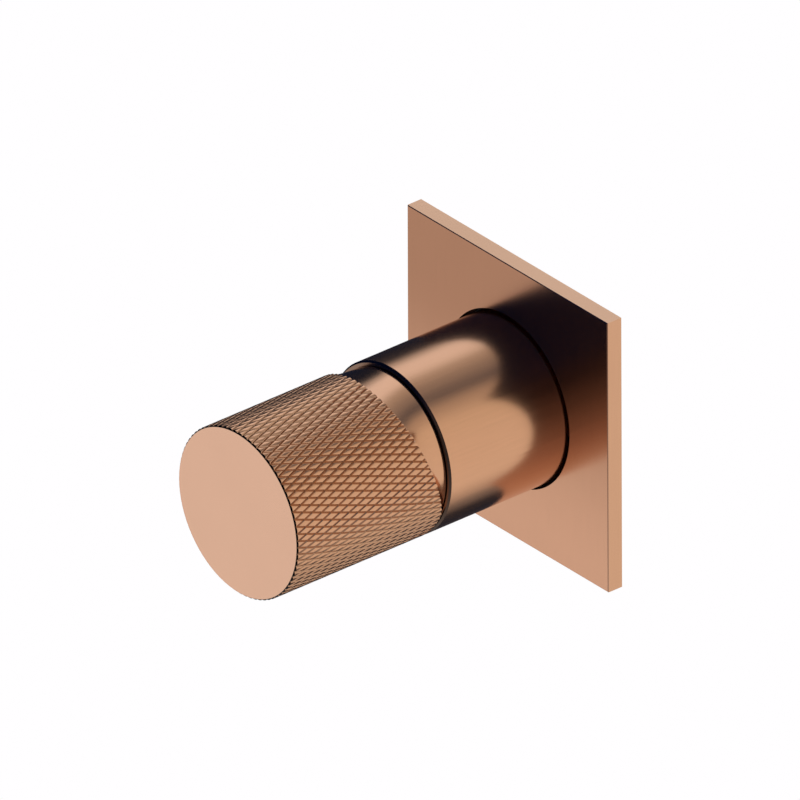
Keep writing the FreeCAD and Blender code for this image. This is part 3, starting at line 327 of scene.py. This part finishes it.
def copper(name, turned, roughness, end_painted_shade=1.0, knurled=False):
    """
    Brushed copper plating, for the flat plate or for turned pieces.

    The brushing is fine lines in the bump, the tone and the roughness, over a slow change of tone. Painted
    shade darkens the broken edges and flat ends of turned pieces, and the rim of the knurled knob's face.
    """
    material, tree = new_material(name)
    coordinates = tree.add("ShaderNodeTexCoord")
    place = coordinates.outputs["Object"]
    parts = tree.add("ShaderNodeSeparateXYZ", {0: place})
    normal = tree.add("ShaderNodeSeparateXYZ", {0: coordinates.outputs["Normal"]})
    slope = tree.math("ABSOLUTE", normal.outputs["Y"])
    radius = distance_from_axis(tree, parts)
    fine = tree.noise(brush_lines(tree, place, parts, radius, turned), 1.0, 3.0, 0.6)
    slow = tree.noise(place, SLOW_SCALE, 2.0)
    lowest = 1.0 - (SLOW_TONE + FINE_TONE) / 2
    level = tree.math("MULTIPLY_ADD", fine, FINE_TONE, tree.math("MULTIPLY_ADD", slow, SLOW_TONE, lowest))
    tone = COPPER
    if turned:
        # Painted shade: the broken edges of turned pieces are darkened.
        edge = tree.math("COMPARE", slope, EDGE_SLOPE, EDGE_SPREAD)
        level = shaded(tree, level, edge, PAINTED_EDGE_SHADE)
        # Painted shade: flat ends, such as the sleeve's front, are darkened.
        level = shaded(tree, level, tree.math("GREATER_THAN", slope, END_SLOPE), end_painted_shade)
    else:
        tone = plate_tone(tree, parts, normal, slope, slow)
    if knurled:
        tone = knurl_tone(tree, parts, radius)
        # Painted shade: the rim of the knob's face is darkened.
        in_front = tree.math("LESS_THAN", parts.outputs["Y"], KNOB_FRONT + RIM)
        rim = tree.math("MULTIPLY", in_front, tree.math("LESS_THAN", slope, END_SLOPE))
        level = shaded(tree, level, rim, PAINTED_EDGE_SHADE)
    bump = {"Height": fine, "Strength": BRUSH_STRENGTH, "Distance": BRUSH_DEPTH}
    shader = tree.add("ShaderNodeBsdfPrincipled", {
        "Base Color": tree.mix(level, BLACK, tone, clamp=False),
        "Metallic": 1.0,
        "Roughness": tree.math("MULTIPLY_ADD", fine, FINE_ROUGHNESS, roughness - FINE_ROUGHNESS / 2),
        "Normal": tree.add("ShaderNodeBump", bump).outputs[0],
        "Anisotropic": ANISOTROPY,
    })
    if turned:
        tangent = tree.add("ShaderNodeTangent", direction_type="RADIAL", axis="Y")
        tree.tree.links.new(tangent.outputs[0], shader.inputs["Tangent"])
    finish_material(tree, shader)
    return material


def cast_metal(name, base, metallic, roughness, grain, grain_depth):
    """A plain material with a fine cast or milled grain and a slightly uneven tone."""
    material, tree = new_material(name)
    place = tree.add("ShaderNodeTexCoord").outputs["Object"]
    fine = tree.noise(place, grain, 4.0, 0.65)
    slow = tree.noise(place, CAST_SLOW_SCALE, 2.0)
    level = tree.math("MULTIPLY_ADD", slow, CAST_SLOW_TONE, 1.0 - CAST_SLOW_TONE / 2)
    least = roughness - CAST_SLOW_ROUGHNESS / 2
    bump = {"Height": fine, "Strength": CAST_GRAIN, "Distance": grain_depth}
    shader = tree.add("ShaderNodeBsdfPrincipled", {
        "Base Color": tree.mix(level, BLACK, base, clamp=False),
        "Metallic": metallic,
        "Roughness": tree.math("MULTIPLY_ADD", slow, CAST_SLOW_ROUGHNESS, least),
        "Normal": tree.add("ShaderNodeBump", bump).outputs[0],
    })
    finish_material(tree, shader)
    return material


def dress_nodes():
    """Gives each piece the material of its slot."""
    made = {slot: cast_metal(slot, *look) for slot, look in CAST_LOOKS.items()}
    plate = copper("copper_plate", False, PLATE_ROUGHNESS)
    turned = copper("copper_turned", True, TURNED_ROUGHNESS, SLEEVE_END_PAINTED_SHADE)
    for entry in frame["record"]["subparts"]:
        node = frame["nodes"][entry["node"]]
        slot = entry["material_slot"]
        if slot == "brushed_copper":
            material = plate if entry["node"] == "wall_plate" else turned
        else:
            material = made[slot]
        node.data.materials.clear()
        node.data.materials.append(material)


def new_piece(name, shape):
    """A new object in the scene from a bmesh."""
    mesh = bpy.data.meshes.new(name)
    shape.to_mesh(mesh)
    shape.free()
    piece = bpy.data.objects.new(name, mesh)
    bpy.context.scene.collection.objects.link(piece)
    return piece


# Knurl

def on_knob(radius, turn, depth):
    """A point by its radius, its turn in radians and its depth."""
    return Vector((radius * math.cos(turn), depth, radius * math.sin(turn)))


def knurl_gap(height):
    """How far in front of the sleeve the knurl ends, at a height above the axis."""
    return max(KNURL_STANDOFF, NECK_SHOWN + height * math.tan(KNURL_SLANT))


def behind_flat_end(point):
    """How far a point lies behind the lower, flat end of the knurl."""
    return point.y - SLEEVE_FRONT + KNURL_STANDOFF


def behind_slant(point):
    """How far a point lies behind the slanting end of the knurl."""
    return point.y - SLEEVE_FRONT + NECK_SHOWN + point.z * math.tan(KNURL_SLANT)


def kept_corners(corners, distance):
    """The corners of a facet that is cut off where a distance to a plane is above zero."""
    kept = []
    for number, corner in enumerate(corners):
        previous = corners[number - 1]
        here = distance(corner)
        before = distance(previous)
        if here * before < 0:
            kept.append(previous + (corner - previous) * (before / (before - here)))
        if here <= 0:
            kept.append(corner)
    return kept


def diamond_rings(turn, depth, half, step):
    """The corners of a diamond at each level, from its top down: left, behind, right and ahead."""
    rings = []
    for share, radius in KNURL_LEVELS:
        rings.append([
            on_knob(radius, turn - half * share, depth),
            on_knob(radius, turn, depth + step * share),
            on_knob(radius, turn + half * share, depth),
            on_knob(radius, turn, depth - step * share),
        ])
    return rings


def diamond_facets(turn, depth, half, step):
    """A whole diamond: a rounded top and four walls down to the groove floor."""
    rings = diamond_rings(turn, depth, half, step)
    left, behind, right, ahead = rings[0]
    facets = [(left, behind, ahead), (right, ahead, behind)]
    for upper, lower in zip(rings, rings[1:]):
        for number in range(4):
            facets.append((upper[number - 1], upper[number], lower[number], lower[number - 1]))
    return facets


def tooth_across(turn, depth, half, highest):
    """The corners across a tooth from groove to groove, at one depth, with its top no higher than given."""
    left = [on_knob(min(radius, highest), turn - half * share, depth) for share, radius in KNURL_LEVELS]
    right = [on_knob(min(radius, highest), turn + half * share, depth) for share, radius in KNURL_LEVELS]
    return left[::-1] + right


def first_diamond_facets(turn, depth, half, step):
    """The rear half of a diamond at the knob's face, and the straight tooth and rim in front of it."""
    rings = diamond_rings(turn, depth, half, step)
    facets = [tuple(rings[0][:3])]
    for upper, lower in zip(rings, rings[1:]):
        for number in (1, 2):
            facets.append((upper[number - 1], upper[number], lower[number], lower[number - 1]))
    across = [
        tooth_across(turn, depth, half, CREST),
        tooth_across(turn, KNOB_FRONT + RIM, half, CREST),
        tooth_across(turn, KNOB_FRONT, half, CREST - RIM),
    ]
    for rear, front in zip(across, across[1:]):
        for number in range(1, len(rear)):
            facets.append((rear[number - 1], rear[number], front[number], front[number - 1]))
    return facets


def face_corners(half):
    """The outline of the knob's face, toothed by the grooves."""
    corners = []
    for tooth in range(TEETH):
        corners.extend(tooth_across((2 * tooth + 1) * half, KNOB_FRONT, half, CREST - RIM)[:-1])
    return corners


def knurl_facets():
    """Rows of diamonds between two sets of crossing grooves, cut off at the slanting end."""
    half = math.pi / TEETH
    first = KNOB_FRONT + FIRST_ROW
    step = half * CREST / math.tan(KNURL_ANGLE)
    rows = math.ceil((SLEEVE_FRONT - KNURL_STANDOFF - first) / step)
    facets = []
    for row in range(rows + 1):
        make_facets = diamond_facets if row else first_diamond_facets
        for tooth in range(TEETH):
            turn = (2 * tooth + 1 + row % 2) * half
            facets.extend(make_facets(turn, first + row * step, half, step))
    kept = []
    for corners in facets:
        for distance in (behind_flat_end, behind_slant):
            corners = kept_corners(corners, distance)
        if len(corners) > 2:
            kept.append(corners)
    kept.append(face_corners(half))
    return kept


# Neck

def flare_turns():
    """The turns of the flare's corners in radians, with one at each end of the slant."""
    bend = math.asin((KNURL_STANDOFF - NECK_SHOWN) / math.tan(KNURL_SLANT) / FLARE_OUTER)
    above = [bend + (math.pi - 2 * bend) * side / FLARE_SIDES for side in range(FLARE_SIDES)]
    below = [math.pi - bend + (math.pi + 2 * bend) * side / FLARE_SIDES for side in range(FLARE_SIDES)]
    return above + below


def flare_point(turn, share):
    """A point on the flare, whose share runs from 0 at the round neck to 1 at the end of the knurl."""
    radius = COLLAR_RADIUS + (FLARE_OUTER - COLLAR_RADIUS) * share ** 2
    length = knurl_gap(FLARE_OUTER * math.sin(turn)) - FLARE_STANDOFF
    return on_knob(radius, turn, SLEEVE_FRONT - FLARE_STANDOFF - length * share)


def end_facet(points, distance, side):
    """One flat end of the knurl round the flare. The side is 1 for the upper one and -1 for the lower."""
    def turn_from_middle(point):
        return math.atan2(point.x, side * point.z)

    outline = []
    for point in sorted((p for p in points if abs(distance(p)) < TOUCH), key=turn_from_middle):
        if not outline or (point - outline[-1]).length > TOUCH:
            outline.append(point)
    flare_end = [flare_point(turn, 1) for turn in flare_turns()]
    inner = sorted((p for p in flare_end if abs(distance(p)) < TOUCH), key=turn_from_middle)
    return outline + inner[::-1]


def neck_facets():
    """The flare, the round neck behind it, and the bore and cavity inside."""
    turns = flare_turns()
    rings = []
    for step in range(FLARE_STEPS, -1, -1):
        rings.append([flare_point(turn, step / FLARE_STEPS) for turn in turns])
    for radius, depth in KNOB_INSIDE:
        rings.append([on_knob(radius, turn, depth) for turn in turns])
    facets = []
    for near, far in zip(rings, rings[1:]):
        for number in range(len(turns)):
            facets.append((near[number - 1], near[number], far[number], far[number - 1]))
    facets.append(rings[-1])
    return facets


# Knob

def closed_knob():
    """The knob as one closed mesh, still without the hole of the grub screw."""
    facets = knurl_facets()
    points = [point for corners in facets for point in corners]
    facets.append(end_facet(points, behind_flat_end, -1))
    facets.append(end_facet(points, behind_slant, 1))
    facets.extend(neck_facets())
    mesh = bmesh.new()
    for corners in facets:
        mesh.faces.new([mesh.verts.new(corner) for corner in corners])
    bmesh.ops.remove_doubles(mesh, verts=mesh.verts, dist=TOUCH)
    bmesh.ops.recalc_face_normals(mesh, faces=mesh.faces)
    return mesh


def drill_grub_hole(piece):
    """Cuts the hole of the grub screw through the underside of the knob."""
    drill = bmesh.new()
    bmesh.ops.create_cone(
        drill,
        cap_ends=True,
        segments=DRILL_SIDES,
        radius1=GRUB_HOLE,
        radius2=GRUB_HOLE,
        depth=CREST - BORE + DRILL_OVERRUN,
        matrix=Matrix.Translation((0.0, GRUB_DEPTH, -(CREST + BORE) / 2)),
    )
    cutter = new_piece("drill", drill)
    cut = piece.modifiers.new("hole", "BOOLEAN")
    cut.object = cutter
    cut.solver = "EXACT"
    graph = bpy.context.evaluated_depsgraph_get()
    drilled = bpy.data.meshes.new_from_object(piece.evaluated_get(graph))
    piece.modifiers.clear()
    piece.data = drilled
    bpy.data.objects.remove(cutter)


def knob():
    """The whole knob, with rounded diamonds, which takes the place of the CAD solid."""
    piece = new_piece("knurled_knob", closed_knob())
    drill_grub_hole(piece)
    piece.data.set_sharp_from_angle(angle=SHARP)
    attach(piece, "turning")
    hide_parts("knob")
    piece.data.materials.append(copper("copper_knurled", True, KNURLED_ROUGHNESS, knurled=True))


# Light

def studio():
    """Soft bands of light round the Y axis for all that the object mirrors, and a plain white backdrop."""
    world = bpy.data.worlds.new("studio")
    world.use_nodes = True
    bpy.context.scene.world = world
    tree = Tree(world.node_tree)
    place = tree.add("ShaderNodeTexCoord").outputs["Generated"]
    parts = tree.add("ShaderNodeSeparateXYZ", {0: place})
    angle = tree.math("ARCTAN2", parts.outputs["Z"], parts.outputs["X"])
    share = tree.math("MULTIPLY_ADD", angle, 0.5 / math.pi, 0.5)
    rows = []
    for bands in (LIGHT_FROM_FRONT, LIGHT_FROM_BEHIND):
        stops = [((degrees + 180) / 360, colour) for degrees, colour in bands]
        rows.append(tree.ramp(share, stops, "EASE"))
    colour = tree.mix(tree.smooth_step(parts.outputs["Y"], FRONT_FULL, BEHIND_FULL), *rows)
    straight = tree.smooth_step(parts.outputs["Y"], STRAIGHT_START, STRAIGHT_FULL)
    colour = tree.mix(straight, colour, STRAIGHT_FRONT)
    light = tree.add("ShaderNodeBackground", {"Color": colour, "Strength": 1.0})
    backdrop = tree.add("ShaderNodeBackground", {"Color": BACKGROUND, "Strength": 1.0})
    seen = tree.add("ShaderNodeLightPath").outputs["Is Camera Ray"]
    both = tree.add("ShaderNodeMixShader", {0: seen, 1: light.outputs[0], 2: backdrop.outputs[0]})
    tree.add("ShaderNodeOutputWorld", {"Surface": both.outputs[0]})


# Stage

def stage_material():
    """Plain white from the front, clear from behind."""
    material, tree = new_material("stage_white")
    white = tree.add("ShaderNodeEmission", {"Color": BACKGROUND, "Strength": 1.0})
    clear = tree.add("ShaderNodeBsdfTransparent")
    behind = tree.add("ShaderNodeNewGeometry").outputs["Backfacing"]
    shader = tree.add("ShaderNodeMixShader", {0: behind, 1: white.outputs[0], 2: clear.outputs[0]})
    finish_material(tree, shader)
    return material


def stage_piece(name, corners, faces, material):
    """A flat stage piece that only the camera sees."""
    mesh = bpy.data.meshes.new(name)
    mesh.from_pydata(corners, [], faces)
    mesh.materials.append(material)
    piece = bpy.data.objects.new(name, mesh)
    bpy.context.scene.collection.objects.link(piece)
    piece.visible_diffuse = False
    piece.visible_glossy = False
    piece.visible_transmission = False
    piece.visible_shadow = False


def stage():
    """The wall that the plate sits on, with a hole behind the plate, and a pale floor below it."""
    material = stage_material()
    hole = []
    wall = []
    floor = []
    ring = []
    for step in range(STAGE_SIDES):
        turn = 2 * math.pi * step / STAGE_SIDES
        across = math.cos(turn)
        up = math.sin(turn)
        side = PANEL_REACH / max(abs(across), abs(up))
        hole.append((PANEL_HOLE * across, PANEL_BEHIND, PANEL_HOLE * up))
        wall.append((side * across, PANEL_BEHIND, side * up))
        floor.append((FLOOR_RADIUS * across, FLOOR_RADIUS * up, FLOOR_LEVEL))
        after = (step + 1) % STAGE_SIDES
        ring.append((STAGE_SIDES + step, STAGE_SIDES + after, after, step))
    stage_piece("stage_wall", hole + wall, ring, material)
    stage_piece("stage_floor", floor, [tuple(range(STAGE_SIDES))], material)


# Camera

def camera():
    """A parallel view at the photograph's angle, framed so that the origin falls on its place."""
    turn = math.radians(AZIMUTH)
    rise = math.radians(ELEVATION)
    roll = math.radians(ROLL)
    towards = Vector((math.sin(turn) * math.cos(rise), -math.cos(turn) * math.cos(rise), math.sin(rise)))
    level = Vector((math.cos(turn), math.sin(turn), 0.0))
    upright = towards.cross(level)
    right = math.cos(roll) * level - math.sin(roll) * upright
    up = math.sin(roll) * level + math.cos(roll) * upright
    aside = (PIXELS / 2 - ORIGIN_AT[0]) / PIXELS_PER_METRE
    above = (ORIGIN_AT[1] - PIXELS / 2) / PIXELS_PER_METRE
    data = bpy.data.cameras.new("camera")
    data.type = "ORTHO"
    data.ortho_scale = PIXELS / PIXELS_PER_METRE
    data.clip_start = CLIP_NEAR
    data.clip_end = CLIP_FAR
    view = bpy.data.objects.new("camera", data)
    bpy.context.scene.collection.objects.link(view)
    place = right * aside + up * above + towards * CAMERA_DISTANCE
    axes = Matrix((right, up, towards)).transposed()
    view.matrix_world = Matrix.Translation(place) @ axes.to_4x4()
    bpy.context.scene.camera = view


dress_nodes()
knob()
studio()
stage()
camera()
bpy.context.scene.view_settings.view_transform = "Standard"
